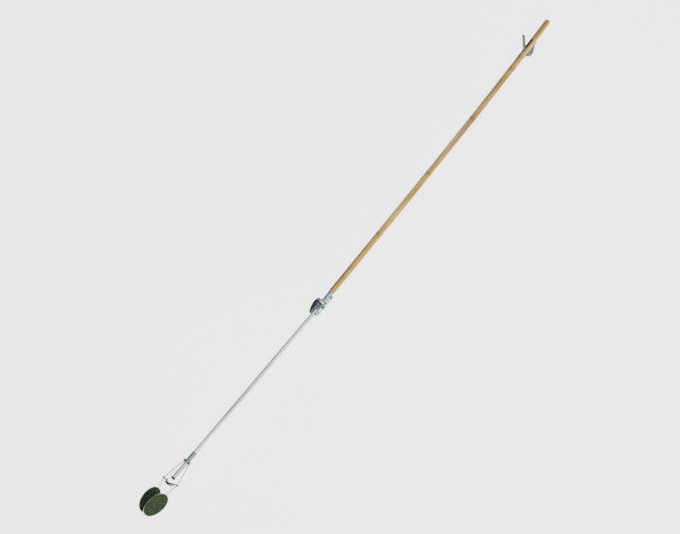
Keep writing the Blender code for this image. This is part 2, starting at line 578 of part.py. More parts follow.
def make_guide_plate(slider):
    """A thick dished oval plate that slides in line with the tube, with an eyelet at each end for a jaw's wires."""
    tilted = bpy.data.objects.new("guide_tilt", None)
    tilted.parent = slider
    tilted.rotation_euler = (0, 0, PLATE_TILT)
    parts.objects.link(tilted)

    def dish(y, depth):
        return -depth * (0.5 + 0.5 * math.cos(math.pi * min(abs(y) / PLATE_FLAT_FROM, 1.0)))

    count = 22
    places = [-PLATE_HALF + 2 * PLATE_HALF * i / count for i in range(count + 1)]
    upper = [(dish(y, PLATE_DIP), y) for y in places]
    under = [(dish(y, PLATE_BELLY) - PLATE_THICKNESS, y) for y in reversed(places)]
    plate = outline("guide_plate", DARK, tilted, upper + under, "XY", -1.0, 1.0)
    for vertex in plate.data.vertices:
        across = max(0.12, 1 - abs(vertex.co.y / PLATE_HALF) ** 2.6)
        vertex.co.z *= PLATE_WIDTH * across ** 0.5
    cut(plate, hole("plate_centre_hole", slider, "X", (0, 0, 0), 0.0039, sides=20),
        hole("plate_wire_hole", slider, "X", (0, *around(OUTER_WIRE)), PULL_WIRE + GAP))
    for side, sign in SIDES:
        centre = (0, sign * EYELET_Y, 0)
        cut(plate, hole(f"eyelet_hole_{side}", tilted, "X", centre, 0.0040, sides=20))
        top, bottom = GAP, -PLATE_THICKNESS - GAP
        profile = [(top + 0.0010, 0.0036), (top + 0.0010, 0.0052), (top, 0.0056), (top, 0.0040)]
        profile += [(bottom, 0.0040), (bottom, 0.0056), (bottom - 0.0010, 0.0052), (bottom - 0.0010, 0.0036)]
        turned(f"eyelet_{side}", ZINC, tilted, profile, steps=20, location=centre)


def make_sleeve():
    """The sleeve on the tube, with a pair of ears on each side that hold a jaw's hinge pin."""
    inner, outer = TUBE_RADIUS + GAP, TUBE_RADIUS + 0.0012
    profile = [(SLEEVE_TOP, inner), (SLEEVE_TOP, outer - 0.0004), (SLEEVE_TOP - 0.0008, outer),
               (SLEEVE_END + 0.0008, outer), (SLEEVE_END, outer - 0.0004), (SLEEVE_END, inner)]
    sleeve = turned("anchor_sleeve", DARK, lower, profile, steps=28)
    for side, sign in SIDES:
        for level, up in LEVELS:
            near, far = sorted((sign * (TUBE_RADIUS - 0.0002), sign * 0.0152))
            low, high = sorted((up * EAR_INNER, up * EAR_OUTER))
            ear = block(f"ear_{side}_{level}", None, lower, (ARM_PIVOT_X - 0.0034, near, low),
                        (ARM_PIVOT_X + 0.0060, far, high))
            join(sleeve, ear)
        place = (ARM_PIVOT_X, sign * ARM_PIVOT_Y, 0)
        cut(sleeve, hole(f"ear_hole_{side}", lower, "Z", place, JAW_PIN_RADIUS))


def make_jaw(side, sign):
    """One jaw: a knuckle on the sleeve's pin, a pair of spring wires and a padded disc."""
    pin_place = (ARM_PIVOT_X, sign * ARM_PIVOT_Y, 0)
    turned(f"jaw_pin_{side}", ZINC, lower, riveted(0.0053, JAW_PIN_RADIUS, 0.0005), axis="Z", steps=12,
           location=pin_place)
    pivot = frame(f"jaw_pivot_{side}", pin_place, 0, lower)
    half = EAR_INNER - GAP
    knuckle = rod(f"jaw_knuckle_{side}", ZINC, pivot, "Z", (0, 0, 0), 0.0028, -half, half, 16)
    cut(knuckle, hole(f"knuckle_hole_{side}", pivot, "Z", (0, 0, 0), JAW_PIN_RADIUS))

    place = Vector((-LOWER_LENGTH, sign * JAW_HALF_GAP, 0))
    turn = sign * JAW_ANGLE
    inward = Vector((math.cos(turn), math.sin(turn), 0))
    start = Vector((ARM_PIVOT_X - 0.0034, sign * (ARM_PIVOT_Y + 0.0008), 0))
    eyelet = Vector((-PIVOT_TO_PLATE, 0, 0)) + eyelet_place(sign)
    rim = place + inward * (DISC_RADIUS + 0.0004)
    tip = place + inward * (DISC_RADIUS - 0.0110)
    steps = 7
    spans = [i / steps for i in range(steps + 1)]
    above = []
    for t in spans:
        x = start.x + (eyelet.x - start.x) * t
        y = start.y + (eyelet.y - start.y) * (1.22 * t - 0.22 * t * t)
        above.append(Vector((x, y, LEG_CLOSE)))
    below = []
    for t in spans[1:]:
        spread = LEG_CLOSE + (LEG_SPREAD - LEG_CLOSE) * (0.5 - 0.5 * math.cos(math.pi * t))
        crossing = eyelet.lerp(rim, t)
        below.append(Vector((crossing.x, crossing.y, spread)))
    last = [Vector((tip.x, tip.y, LEG_SPREAD))]
    for level, up in LEVELS:
        points = [(p.x - pin_place[0], p.y - pin_place[1], up * p.z) for p in above + below + last]
        wire(f"jaw_wire_{side}_{level}", STEEL, pivot, points, WIRE_RADIUS)

    disc = bpy.data.objects.new(f"disc_frame_{side}", None)
    disc.parent = pivot
    disc.location = place - Vector(pin_place)
    disc.rotation_euler = (0, 0, turn)
    parts.objects.link(disc)
    half = CORE_THICKNESS / 2
    profile = [(half, 0), (half, DISC_RADIUS - 0.0005), (half - 0.0006, DISC_RADIUS),
               (-half + 0.0006, DISC_RADIUS), (-half, DISC_RADIUS - 0.0005), (-half, 0)]
    core = turned(f"disc_core_{side}", DISC_METAL, disc, profile, axis="Y", steps=40)
    for level, up in LEVELS:
        cut(core, hole(f"leg_socket_{side}_{level}", disc, "X", (0, 0, up * LEG_SPREAD), WIRE_RADIUS,
                       DISC_RADIUS - 0.0115, DISC_RADIUS + 0.01))
    for where, out in (("grip", -sign), ("back", sign)):
        low, high = sorted((out * (half + GAP), out * (half + GAP + PAD_THICKNESS)))
        profile = [(high, 0), (high, DISC_RADIUS - 0.0012), ((low + high) / 2, DISC_RADIUS - 0.0006),
                   (low, DISC_RADIUS - 0.0010), (low, 0)]
        turned(f"{where}_pad_{side}", FELT, disc, profile, axis="Y", steps=40)


make_cane()
make_ferrule()
make_fork()
make_lock()
make_trigger()
make_screws()
make_slot_band()
make_upper_wire()
make_tongue()
make_tube()
make_stop_plate()
make_sleeve()
plate_slider = frame("plate_slider", (-PIVOT_TO_PLATE, 0, 0), 0, lower)
make_guide_plate(plate_slider)
make_lower_wire(plate_slider)
for side_name, side_sign in SIDES:
    make_jaw(side_name, side_sign)
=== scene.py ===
"""The finished look of the folding pick-up pole: bamboo, zinc, aluminium, painted levers and green felt,
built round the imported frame. Everything is in metres, in the frame's own axes: X along the pole, Z up."""

import json
import math

import bmesh
import bpy
from mathutils import Matrix, Vector, noise

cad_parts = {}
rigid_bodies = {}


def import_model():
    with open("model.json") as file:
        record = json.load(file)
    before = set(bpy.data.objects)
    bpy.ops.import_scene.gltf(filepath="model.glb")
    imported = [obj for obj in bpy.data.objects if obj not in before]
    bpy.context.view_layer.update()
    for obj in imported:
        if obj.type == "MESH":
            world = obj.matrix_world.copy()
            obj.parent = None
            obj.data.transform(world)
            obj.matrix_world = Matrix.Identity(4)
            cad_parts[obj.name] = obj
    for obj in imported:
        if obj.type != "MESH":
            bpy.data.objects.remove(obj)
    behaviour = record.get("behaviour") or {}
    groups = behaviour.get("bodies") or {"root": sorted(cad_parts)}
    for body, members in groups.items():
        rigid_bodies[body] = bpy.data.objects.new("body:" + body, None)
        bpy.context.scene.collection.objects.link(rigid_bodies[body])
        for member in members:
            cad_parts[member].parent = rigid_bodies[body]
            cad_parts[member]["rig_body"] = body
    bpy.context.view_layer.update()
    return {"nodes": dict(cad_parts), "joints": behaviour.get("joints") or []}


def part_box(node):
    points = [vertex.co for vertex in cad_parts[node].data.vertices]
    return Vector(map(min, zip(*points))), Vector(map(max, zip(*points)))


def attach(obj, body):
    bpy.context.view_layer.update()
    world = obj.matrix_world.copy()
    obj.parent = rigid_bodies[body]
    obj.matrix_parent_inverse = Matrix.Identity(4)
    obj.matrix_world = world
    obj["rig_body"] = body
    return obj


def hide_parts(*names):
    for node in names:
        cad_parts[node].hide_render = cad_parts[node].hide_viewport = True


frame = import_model()
joints = {joint["name"]: joint for joint in frame["joints"]}

# ---- places that the frame gives ----
ALONG_LOWER = Vector(joints["guide_slide"]["axis"]).normalized()
FOLD_PIVOT = Vector(joints["fold"]["pos_m"])
CANE_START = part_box("cane")[0].x
CANE_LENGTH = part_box("cane")[1].x - CANE_START

# ---- sizes repeated from the CAD model ----
GAP = 0.0003                    # between pieces that touch
CANE_RADIUS = 0.0112
CANE_BORE = 0.0065
CANE_BORE_END = 0.075           # solid bamboo left at the top
CANE_SAG = 0.030
CANE_CURVE = 3.2                # power of the cane's upward curve
NODE_PLACES = (0.265, 0.543, 0.792, 1.018)
PIVOT_TO_CANE = 0.062
FERRULE_RADIUS = 0.0095
SPIGOT_RADIUS = 0.0062
SPIGOT_LENGTH = 0.042
SPIGOT_PIN_PLACES = (0.014, 0.030)
SPIGOT_PIN_RADIUS = 0.0015
BOLT_RADIUS = 0.0030
LOCK_PIN = (0.0115, 0.0190)
LOCK_PIN_RADIUS = 0.0018

TRIGGER_FROM_TOP = 0.138
TRIGGER_PIN_Z = -0.024
TRIGGER_PIN_RADIUS = 0.0020
SLOT_HALF = 0.0035
SLOT_FROM_TOP = (0.090, 0.1440)
SLOT_BAND_X = -0.0260           # along the cane from the trigger
BRACKET_SCREW_PLACES = (-0.0163, 0.0470)
BRACKET_FEET = (-0.0148, -0.0152)
BRACKET_SCREW_RADIUS = 0.0012
SPRING_RADIUS = 0.0042
SPRING_TURNS = 6
SPRING_PITCH = 0.0056
SPRING_WIRE = 0.0005
SPRING_FROM_TRIGGER = -0.0700

TUBE_RADIUS = 0.0080
TUBE_INNER = 0.0066
TUBE_TOP, TUBE_END = -0.020, -0.802
TUBE_RIVET_X = -0.036
TUBE_RIVET_RADIUS = 0.0016
STOP_SCREW_X = -0.0262
STOP_SCREW_RADIUS = 0.0017
EXIT_X = -0.7680                # where the pull wire leaves the tube
EXIT_TURN = math.radians(-57)   # round the tube, from the top towards the +Y side
EXIT_SLOT = (-0.0200, 0.0165)   # the slot's ends, from EXIT_X
EXIT_SLOT_HALF = 0.0022
OUTER_WIRE = 0.0137             # how far from the tube's centre the wire then runs
PULL_WIRE = 0.00075
PULL_WIRE_HOLE = 0.00105

PLATE_X = -0.820
PLATE_TILT = math.radians(8.0)
PLATE_DIP = 0.0085
PLATE_BELLY = 0.0150
PLATE_HALF = 0.0388
PLATE_WIDTH = 0.0118            # half of it, at the middle
PLATE_THICKNESS = 0.0024        # at its ends
PLATE_FLAT_FROM = 0.0265
EYELET_Y = 0.0330

ARM_X = -0.731
ARM_Y = 0.0122
JAW_PIN_RADIUS = 0.0012
DISC_X = -0.918
DISC_RADIUS = 0.052
JAW_HALF_GAP = 0.0170
JAW_ANGLE = math.radians(6.2)
CORE_HALF = 0.0017
PAD_THICKNESS = 0.0012
LEG_SPREAD = 0.0060             # half the distance between a jaw's two legs at the disc
LEG_CLOSE = 0.0014              # the same through the eyelet
LEG_DEPTH = 0.0110              # how far a leg runs into the disc
WIRE_RADIUS = 0.0010
SIDES = (("near", -1), ("far", 1))           # near is -Y

# ---- sizes of the finish alone ----
CANE_TAPER = 0.018              # share of the radius lost from bottom to top
RIDGE_OFFSET = 0.0022           # the ridge is this far above a bamboo joint
SCAR_OFFSET = 0.0006            # and the groove this far below it
RIDGE_SLANT = 0.0004            # how much both lean, from one side of the cane to the other
DRIVE_DEPTH, DRIVE_WIDTH = 0.0007, 0.0008    # screwdriver slots

# ---- camera, sky and floor ----
VIEW_ELEVATION = math.radians(56.47)
POLE_IN_VIEW = math.radians(50.6)
VIEW_DISTANCE = 12.0
LENS = 179.0
VIEW_OFFSET = (-0.0383, -0.0209)
SKY_LEAN = -0.25                # the sky is brighter towards -Y
SKY_DARK_BELOW = 0.45
SKY_BRIGHT_ABOVE = 0.78
SKY_STRENGTH = 0.85
FLOOR_GLOW = 3.2


def axes_matrix(x_axis, y_axis, origin):
    """The place at origin whose X and Y run along the two given directions."""
    z_axis = x_axis.cross(y_axis).normalized()
    return Matrix.Translation(origin) @ Matrix((x_axis, y_axis, z_axis)).transposed().to_4x4()


def cane_lift(x):
    """How far the cane's centreline has risen, x along the cane from its lower end."""
    return CANE_SAG * (max(x, 0.0) / CANE_LENGTH) ** CANE_CURVE


def cane_slope(x):
    """The angle at which the cane's centreline climbs there."""
    near = 0.02
    return math.atan2(cane_lift(x + near) - cane_lift(x - near), 2 * near)


def moved(matrix, x=0, y=0, z=0):
    return matrix @ Matrix.Translation((x, y, z))


def around(radius):
    """The (y, z) of a point at a radius from the tube's centre, on the side where the pull wire leaves."""
    return -radius * math.sin(EXIT_TURN), radius * math.cos(EXIT_TURN)


LOWER = axes_matrix(ALONG_LOWER, Vector((0, 1, 0)), FOLD_PIVOT)
HANDLE = Matrix.Translation(FOLD_PIVOT)
CANE = Matrix.Translation((CANE_START, 0, FOLD_PIVOT.z))
TRIGGER_X = CANE_LENGTH - TRIGGER_FROM_TOP
CANE_TURN = Matrix.Rotation(-cane_slope(TRIGGER_X), 4, "Y")
TRIGGER = moved(CANE, TRIGGER_X, 0, cane_lift(TRIGGER_X)) @ CANE_TURN
GUIDE = moved(LOWER, PLATE_X)
TILTED = GUIDE @ Matrix.Rotation(PLATE_TILT, 4, "Z")


# ---- material tools ----
class Nodes:
    """A material under construction: add() makes a node, link() joins two sockets."""

    def __init__(self, name):
        self.material = bpy.data.materials.new(name)
        self.material.use_nodes = True
        self.tree = self.material.node_tree
        self.shader = self.tree.nodes["Principled BSDF"]
        self.place = self.add("ShaderNodeTexCoord").outputs["Object"]

    def add(self, kind, **settings):
        node = self.tree.nodes.new(kind)
        for key, value in settings.items():
            setattr(node, key, value)
        return node

    def link(self, start, end):
        self.tree.links.new(start, end)

    def stretched(self, scale):
        """The piece's own coordinates, squeezed so that a pattern runs long where the scale is small."""
        mapping = self.add("ShaderNodeMapping")
        mapping.inputs["Scale"].default_value = scale
        self.link(self.place, mapping.inputs["Vector"])
        return mapping.outputs["Vector"]

    def noise(self, scale, stretch=(1, 1, 1), detail=4.0, roughness=0.55, distortion=0.0):
        texture = self.add("ShaderNodeTexNoise")
        texture.inputs["Scale"].default_value = scale
        texture.inputs["Detail"].default_value = detail
        texture.inputs["Roughness"].default_value = roughness
        texture.inputs["Distortion"].default_value = distortion
        self.link(self.stretched(stretch), texture.inputs["Vector"])
        return texture.outputs["Fac"]

    def ramp(self, value, *stops):
        """A colour ramp from (position, colour or grey) stops."""
        node = self.add("ShaderNodeValToRGB")
        elements = node.color_ramp.elements
        while len(elements) < len(stops):
            elements.new(0.5)
        for element, (position, colour) in zip(elements, stops):
            element.position = position
            red, green, blue = (colour,) * 3 if isinstance(colour, float) else colour
            element.color = (red, green, blue, 1)
        self.link(value, node.inputs["Fac"])
        return node.outputs["Color"]

    def mix(self, amount, first, second, how="MIX"):
        """Lays second over first; each is a colour or a socket."""
        node = self.add("ShaderNodeMix", data_type="RGBA", blend_type=how)
        for name, value in (("Factor", amount), ("A", first), ("B", second)):
            socket = next(s for s in node.inputs if s.name == name and s.enabled)
            if isinstance(value, bpy.types.NodeSocket):
                self.link(value, socket)
            elif isinstance(value, tuple):
                socket.default_value = (*value, 1)
            else:
                socket.default_value = value
        return next(s for s in node.outputs if s.enabled)

    def math(self, how, first, second):
        node = self.add("ShaderNodeMath", operation=how)
        for socket, value in zip(node.inputs, (first, second)):
            if isinstance(value, bpy.types.NodeSocket):
                self.link(value, socket)
            else:
                socket.default_value = value
        return node.outputs["Value"]

    def bump(self, height, strength, distance):
        node = self.add("ShaderNodeBump")
        node.inputs["Strength"].default_value = strength
        node.inputs["Distance"].default_value = distance
        self.link(height, node.inputs["Height"])
        self.link(node.outputs["Normal"], self.shader.inputs["Normal"])

    def finish(self, colour, roughness=None, **plain):
        """Links the two patterns and sets the other sockets, named with underscores for spaces."""
        self.link(colour, self.shader.inputs["Base Color"])
        if roughness:
            self.link(roughness, self.shader.inputs["Roughness"])
        for name, value in plain.items():
            self.shader.inputs[name.replace("_", " ")].default_value = value
        return self.material


def metal(name, light, dark, rough, stain=None, grain=(1, 1, 1), metallic=0.9, specular=0.5):
    """A worn metal: cloudy tone, fine drawn scratches and small stains."""
    made = Nodes(name)
    cloud = made.noise(90, grain, 5)
    tone = made.ramp(cloud, (0.30, dark), (0.68, light))
    fine = made.noise(1400, (0.08, 1, 1), 2)
    tone = made.mix(0.25, tone, made.ramp(fine, (0.35, 0.25), (0.65, 0.95)), "OVERLAY")
    if stain:
        spots = made.ramp(made.noise(260, (1, 1, 1), 6, 0.7), (0.60, 0.0), (0.72, 1.0))
        tone = made.mix(made.math("MULTIPLY", spots, 0.55), tone, stain)
    shine = made.ramp(made.noise(420, grain, 3), (0.3, rough[0]), (0.7, rough[1]))
    made.bump(fine, 0.08, 0.0002)
    return made.finish(tone, shine, Metallic=metallic, Specular_IOR_Level=specular)


def paint(name, base, light, chip):
    """Enamel over metal, with a faint orange peel and small worn chips."""
    made = Nodes(name)
    tone = made.ramp(made.noise(55, (1, 1, 1), 5), (0.32, base), (0.72, light))
    worn = made.ramp(made.noise(520, (1, 1, 1), 7, 0.72), (0.66, 0.0), (0.70, 1.0))
    tone = made.mix(worn, tone, chip)
    shine = made.ramp(made.noise(240, (1, 1, 1), 3), (0.3, 0.28), (0.7, 0.50))
    made.bump(made.noise(900, (1, 1, 1), 3), 0.12, 0.0003)
    return made.finish(tone, shine, Specular_IOR_Level=0.25)


def bamboo():
    """Split-grain bamboo: long fibres, darker joints, a few brown blotches and a waxy skin."""
    made = Nodes("bamboo_skin")
    fibre = made.noise(260, (0.035, 1, 1), 6, 0.6)
    streak = made.noise(75, (0.05, 1, 1), 4, 0.5, 0.4)
    base = made.ramp(streak, (0.34, (0.190, 0.100, 0.016)), (0.50, (0.400, 0.225, 0.035)),
                     (0.66, (0.640, 0.420, 0.100)))
    base = made.mix(0.75, base, made.ramp(fibre, (0.34, 0.18), (0.66, 0.82)), "OVERLAY")
    blotch = made.ramp(made.noise(22, (0.30, 1, 1), 5, 0.65), (0.56, 0.0), (0.72, 1.0))
    base = made.mix(made.math("MULTIPLY", blotch, 0.38), base, (0.170, 0.070, 0.012))
    pale = made.ramp(made.noise(14, (0.2, 1, 1), 3, 0.5), (0.52, 0.0), (0.75, 1.0))
    base = made.mix(made.math("MULTIPLY", pale, 0.30), base, (0.700, 0.510, 0.190))
    ring = made.add("ShaderNodeAttribute", attribute_name="joint_shade").outputs["Fac"]
    base = made.mix(ring, base, (0.130, 0.060, 0.016))
    shine = made.ramp(made.noise(160, (0.1, 1, 1), 3), (0.3, 0.30), (0.7, 0.52))
    made.bump(made.math("ADD", made.math("MULTIPLY", fibre, 0.6), streak), 0.35, 0.0005)
    return made.finish(base, shine, Specular_IOR_Level=0.35)


def bamboo_inside_painted_shade():
    """The rough inner wall and sawn faces: painted near-black for the shade inside the cane, with torn
    fibres.
    """
    made = Nodes("bamboo_inside_painted_shade")
    fibre = made.noise(700, (0.05, 1, 1), 5, 0.65)
    # near-black browns: painted shade for the inside of the cane, not the wood's own colour
    tone = made.ramp(fibre, (0.30, (0.012, 0.008, 0.004)), (0.75, (0.060, 0.036, 0.014)))
    made.bump(fibre, 0.6, 0.0006)
    return made.finish(tone, None, Roughness=0.85)


def felt():
    """Coarse dark green felt: matted fibres in several greens, and a soft sheen."""
    made = Nodes("green_felt")
    clump = made.noise(170, (1, 1, 1), 6, 0.7, 0.8)
    fibre = made.noise(1500, (1, 1, 0.35), 4, 0.7, 1.2)
    tone = made.ramp(clump, (0.32, (0.004, 0.010, 0.003)), (0.52, (0.014, 0.027, 0.008)),
                     (0.70, (0.040, 0.060, 0.022)))
    tone = made.mix(0.6, tone, made.ramp(fibre, (0.30, 0.20), (0.72, 0.88)), "OVERLAY")
    worn = made.ramp(made.noise(35, (1, 1, 1), 4), (0.50, 0.0), (0.75, 1.0))
    tone = made.mix(made.math("MULTIPLY", worn, 0.25), tone, (0.060, 0.060, 0.028))
    made.bump(made.math("ADD", fibre, made.math("MULTIPLY", clump, 0.8)), 0.7, 0.0012)
    return made.finish(tone, None, Roughness=0.95, Sheen_Weight=0.03, Specular_IOR_Level=0.1)


LOOKS = {
    "bamboo": bamboo(),
    "bamboo_inside_painted_shade": bamboo_inside_painted_shade(),
    "felt": felt(),
    "zinc": metal("zinc_plate", (0.300, 0.350, 0.380), (0.120, 0.150, 0.170), (0.14, 0.28),
                  stain=(0.05, 0.05, 0.05)),
    "bright": metal("bright_plate", (0.400, 0.510, 0.460), (0.170, 0.225, 0.200), (0.16, 0.30)),
    "aluminium": metal("drawn_aluminium", (0.640, 0.660, 0.660), (0.330, 0.345, 0.345), (0.07, 0.16),
                       grain=(0.06, 1, 1)),
    "disc": metal("disc_sheet", (0.400, 0.440, 0.400), (0.230, 0.260, 0.230), (0.3, 0.5)),
    "dull": metal("dull_sleeve", (0.240, 0.265, 0.255), (0.090, 0.105, 0.100), (0.18, 0.34)),
    "steel": metal("spring_steel", (0.090, 0.095, 0.098), (0.030, 0.032, 0.034), (0.20, 0.36)),
    "dark": metal("dark_casting", (0.055, 0.066, 0.064), (0.012, 0.016, 0.016), (0.22, 0.40),
                  stain=(0.10, 0.12, 0.11), metallic=0.3, specular=0.15),
    "teal": paint("teal_enamel", (0.008, 0.026, 0.030), (0.026, 0.062, 0.066), (0.20, 0.25, 0.26)),
    "lever": paint("grey_green_enamel", (0.018, 0.030, 0.026), (0.055, 0.080, 0.064),
                   (0.18, 0.21, 0.19)),
}


# ---- mesh tools ----
def new_piece(bm, name, look, body, *cad_nodes, slot=None, sharp=32.0):
    """Turns bm into a smooth-shaded piece that rides on a body and stands for CAD nodes.

    Its material is the look's own; slot is not used."""
    bmesh.ops.recalc_face_normals(bm, faces=bm.faces)
    mesh = bpy.data.meshes.new(name)
    bm.to_mesh(mesh)
    bm.free()
    obj = bpy.data.objects.new(name, mesh)
    bpy.context.scene.collection.objects.link(obj)
    mesh.materials.append(LOOKS[look])
    mesh.shade_smooth()
    mesh.set_sharp_from_angle(angle=math.radians(sharp))
    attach(obj, body)
    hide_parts(*cad_nodes)
    return obj


def lathe(profile, matrix, segments=64, ripple=None):
    """A closed (along, radius) profile turned about the matrix's X axis."""
    bm = bmesh.new()
    rings = []
    for along, radius in profile:
        if radius == 0:
            rings.append([bm.verts.new(matrix @ Vector((along, 0, 0)))])
            continue
        ring = []
        for step in range(segments):
            angle = 2 * math.pi * step / segments
            size = radius + (ripple(along, angle) if ripple else 0.0)
            point = Vector((along, size * math.cos(angle), size * math.sin(angle)))
            ring.append(bm.verts.new(matrix @ point))
        rings.append(ring)
    pairs = list(zip(rings, rings[1:]))
    if len(rings[0]) > 1:
        pairs.append((rings[-1], rings[0]))
    for first, second in pairs:
        for step in range(segments):
            following = (step + 1) % segments
            corners = [first[step % len(first)], first[following % len(first)],
                       second[following % len(second)], second[step % len(second)]]
            corners = list(dict.fromkeys(corners))
            if len(corners) > 2:
                bm.faces.new(corners)
    return bm


def soften(profile, radius):
    """The profile with each corner away from the axis rounded off."""
    steps = 4
    softened = []
    count = len(profile)
    for index, (x, y) in enumerate(profile):
        before = Vector(profile[index - 1]) - Vector((x, y))
        after = Vector(profile[(index + 1) % count]) - Vector((x, y))
        reach = min(radius, before.length * 0.45, after.length * 0.45)
        if y == 0 or reach < 0.00005 or before.angle(after) > math.radians(172):
            softened.append((x, y))
            continue
        start = Vector((x, y)) + before.normalized() * reach
        end = Vector((x, y)) + after.normalized() * reach
        for step in range(steps + 1):
            t = step / steps
            point = start * (1 - t) ** 2 + Vector((x, y)) * 2 * t * (1 - t) + end * t * t
            softened.append((point.x, point.y))
    return softened


def boolean(obj, cutter_bm):
    """Cuts a closed shape out of obj for good."""
    mesh = bpy.data.meshes.new("cutter")
    bmesh.ops.recalc_face_normals(cutter_bm, faces=cutter_bm.faces)
    cutter_bm.to_mesh(mesh)
    cutter_bm.free()
    cutter = bpy.data.objects.new("cutter", mesh)
    bpy.context.scene.collection.objects.link(cutter)
    modifier = obj.modifiers.new("Cut", "BOOLEAN")
    modifier.operation = "DIFFERENCE"
    modifier.solver = "EXACT"
    modifier.object = cutter
    bpy.context.view_layer.update()
    evaluated = obj.evaluated_get(bpy.context.evaluated_depsgraph_get())
    cut = bpy.data.meshes.new_from_object(evaluated)
    obj.modifiers.clear()
    obj.data = cut
    bpy.data.objects.remove(cutter)


def slot_shape(low, high, half, matrix, depth=0.03, floor=-0.03):
    """A long hole with round ends, from low to high along X, as a closed prism along Z."""
    steps = 8
    outline = []
    for centre, start in ((high - half, -90), (low + half, 90)):
        for step in range(steps + 1):
            angle = math.radians(start + 180 * step / steps)
            outline.append((centre + half * math.cos(angle), half * math.sin(angle)))
    bm = bmesh.new()
    top = [bm.verts.new(matrix @ Vector((x, y, depth))) for x, y in outline]
    bottom = [bm.verts.new(matrix @ Vector((x, y, floor))) for x, y in outline]
    bm.faces.new(top)
    bm.faces.new(bottom[::-1])
    for index in range(len(outline)):
        following = (index + 1) % len(outline)
        bm.faces.new((top[index], bottom[index], bottom[following], top[following]))
    return bm


def tube_along(path, radius, sides=14):
    """A closed round wire along a path, with slightly rounded ends."""
    bm = bmesh.new()
    direction = (path[1] - path[0]).normalized()
    across = direction.orthogonal().normalized()
    rings = []
    last = len(path) - 1
    for index, point in enumerate(path):
        turned = (path[min(index + 1, last)] - path[max(index - 1, 0)]).normalized()
        across = (across - turned * across.dot(turned)).normalized()
        up = turned.cross(across)
        size = radius * (0.8 if index in (0, last) else 1.0)
        rings.append([bm.verts.new(point + (across * math.cos(a) + up * math.sin(a)) * size)
                      for a in (2 * math.pi * s / sides for s in range(sides))])
    for first, second in zip(rings, rings[1:]):
        for step in range(sides):
            following = (step + 1) % sides
            bm.faces.new((first[step], first[following], second[following], second[step]))
    bm.faces.new(rings[0][::-1])
    bm.faces.new(rings[-1])
    return bm


def refined(node, look):
    """A copy of a CAD piece with its flat faces merged, its edges rounded and its shading made smooth."""
    width, sharp = 0.00035, 30.0
    source = frame["nodes"][node]
    bm = bmesh.new()
    bm.from_mesh(source.data)
    bmesh.ops.remove_doubles(bm, verts=bm.verts, dist=0.000005)
    bmesh.ops.dissolve_limit(bm, angle_limit=math.radians(3), verts=bm.verts, edges=bm.edges)
    obj = new_piece(bm, node + "_finished", look, source["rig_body"], node, sharp=sharp)
    edges = obj.modifiers.new("Edges", "BEVEL")
    edges.width = width
    edges.segments = 3
    edges.limit_method = "ANGLE"
    edges.angle_limit = math.radians(sharp)
    edges.miter_outer = "MITER_ARC"
    even = obj.modifiers.new("Even", "WEIGHTED_NORMAL")
    even.keep_sharp = False


# ---- camera, floor and light ----
def make_camera():
    """Looks down on the pole from its -Y side, rolled so that the pole climbs to the upper right."""
    to_camera = Vector((0, -math.cos(VIEW_ELEVATION), math.sin(VIEW_ELEVATION)))
    level_up = Vector((0, math.sin(VIEW_ELEVATION), math.cos(VIEW_ELEVATION)))
    along = Vector((1, 0, 0))
    right = along * math.cos(POLE_IN_VIEW) - level_up * math.sin(POLE_IN_VIEW)
    up = along * math.sin(POLE_IN_VIEW) + level_up * math.cos(POLE_IN_VIEW)
    discs = LOWER @ Vector((DISC_X, 0, 0))
    cane_top = CANE @ Vector((CANE_LENGTH, 0, cane_lift(CANE_LENGTH)))
    middle = (discs + cane_top) / 2
    aim = middle + right * VIEW_OFFSET[0] + up * VIEW_OFFSET[1]
    data = bpy.data.cameras.new("camera")
    data.sensor_width = 36.0
    data.lens = LENS
    data.clip_end = 60.0
    camera = bpy.data.objects.new("camera", data)
    turned = Matrix((right, up, to_camera)).transposed().to_4x4()
    camera.matrix_world = Matrix.Translation(aim + to_camera * VIEW_DISTANCE) @ turned
    bpy.context.scene.collection.objects.link(camera)
    bpy.context.scene.camera = camera


def make_floor():
    """A pale sheet just under the pole, lit a little from within like a light table."""
    bm = bmesh.new()
    bmesh.ops.create_grid(bm, x_segments=1, y_segments=1, size=30)
    mesh = bpy.data.meshes.new("floor")
    bm.to_mesh(mesh)
    bm.free()
    floor = bpy.data.objects.new("floor", mesh)
    floor.location.z = -0.0004
    bpy.context.scene.collection.objects.link(floor)
    pale = Nodes("pale_floor")
    tone = pale.ramp(pale.noise(1.5), (0.3, 0.90), (0.7, 0.93))
    pale.link(tone, pale.shader.inputs["Emission Color"])
    mesh.materials.append(pale.finish(tone, None, Roughness=0.9, Specular_IOR_Level=0.1,
                                      Emission_Strength=FLOOR_GLOW))


def make_light(name, place, size, power):
    """A rectangular softbox, long in X, that faces the middle of the pole."""
    data = bpy.data.lights.new(name, "AREA")
    data.shape = "RECTANGLE"
    data.size, data.size_y = size
    data.energy = power
    light = bpy.data.objects.new(name, data)
    light.location = place
    light.rotation_euler = (-Vector(place)).to_track_quat("-Z", "Y").to_euler()
    bpy.context.scene.collection.objects.link(light)


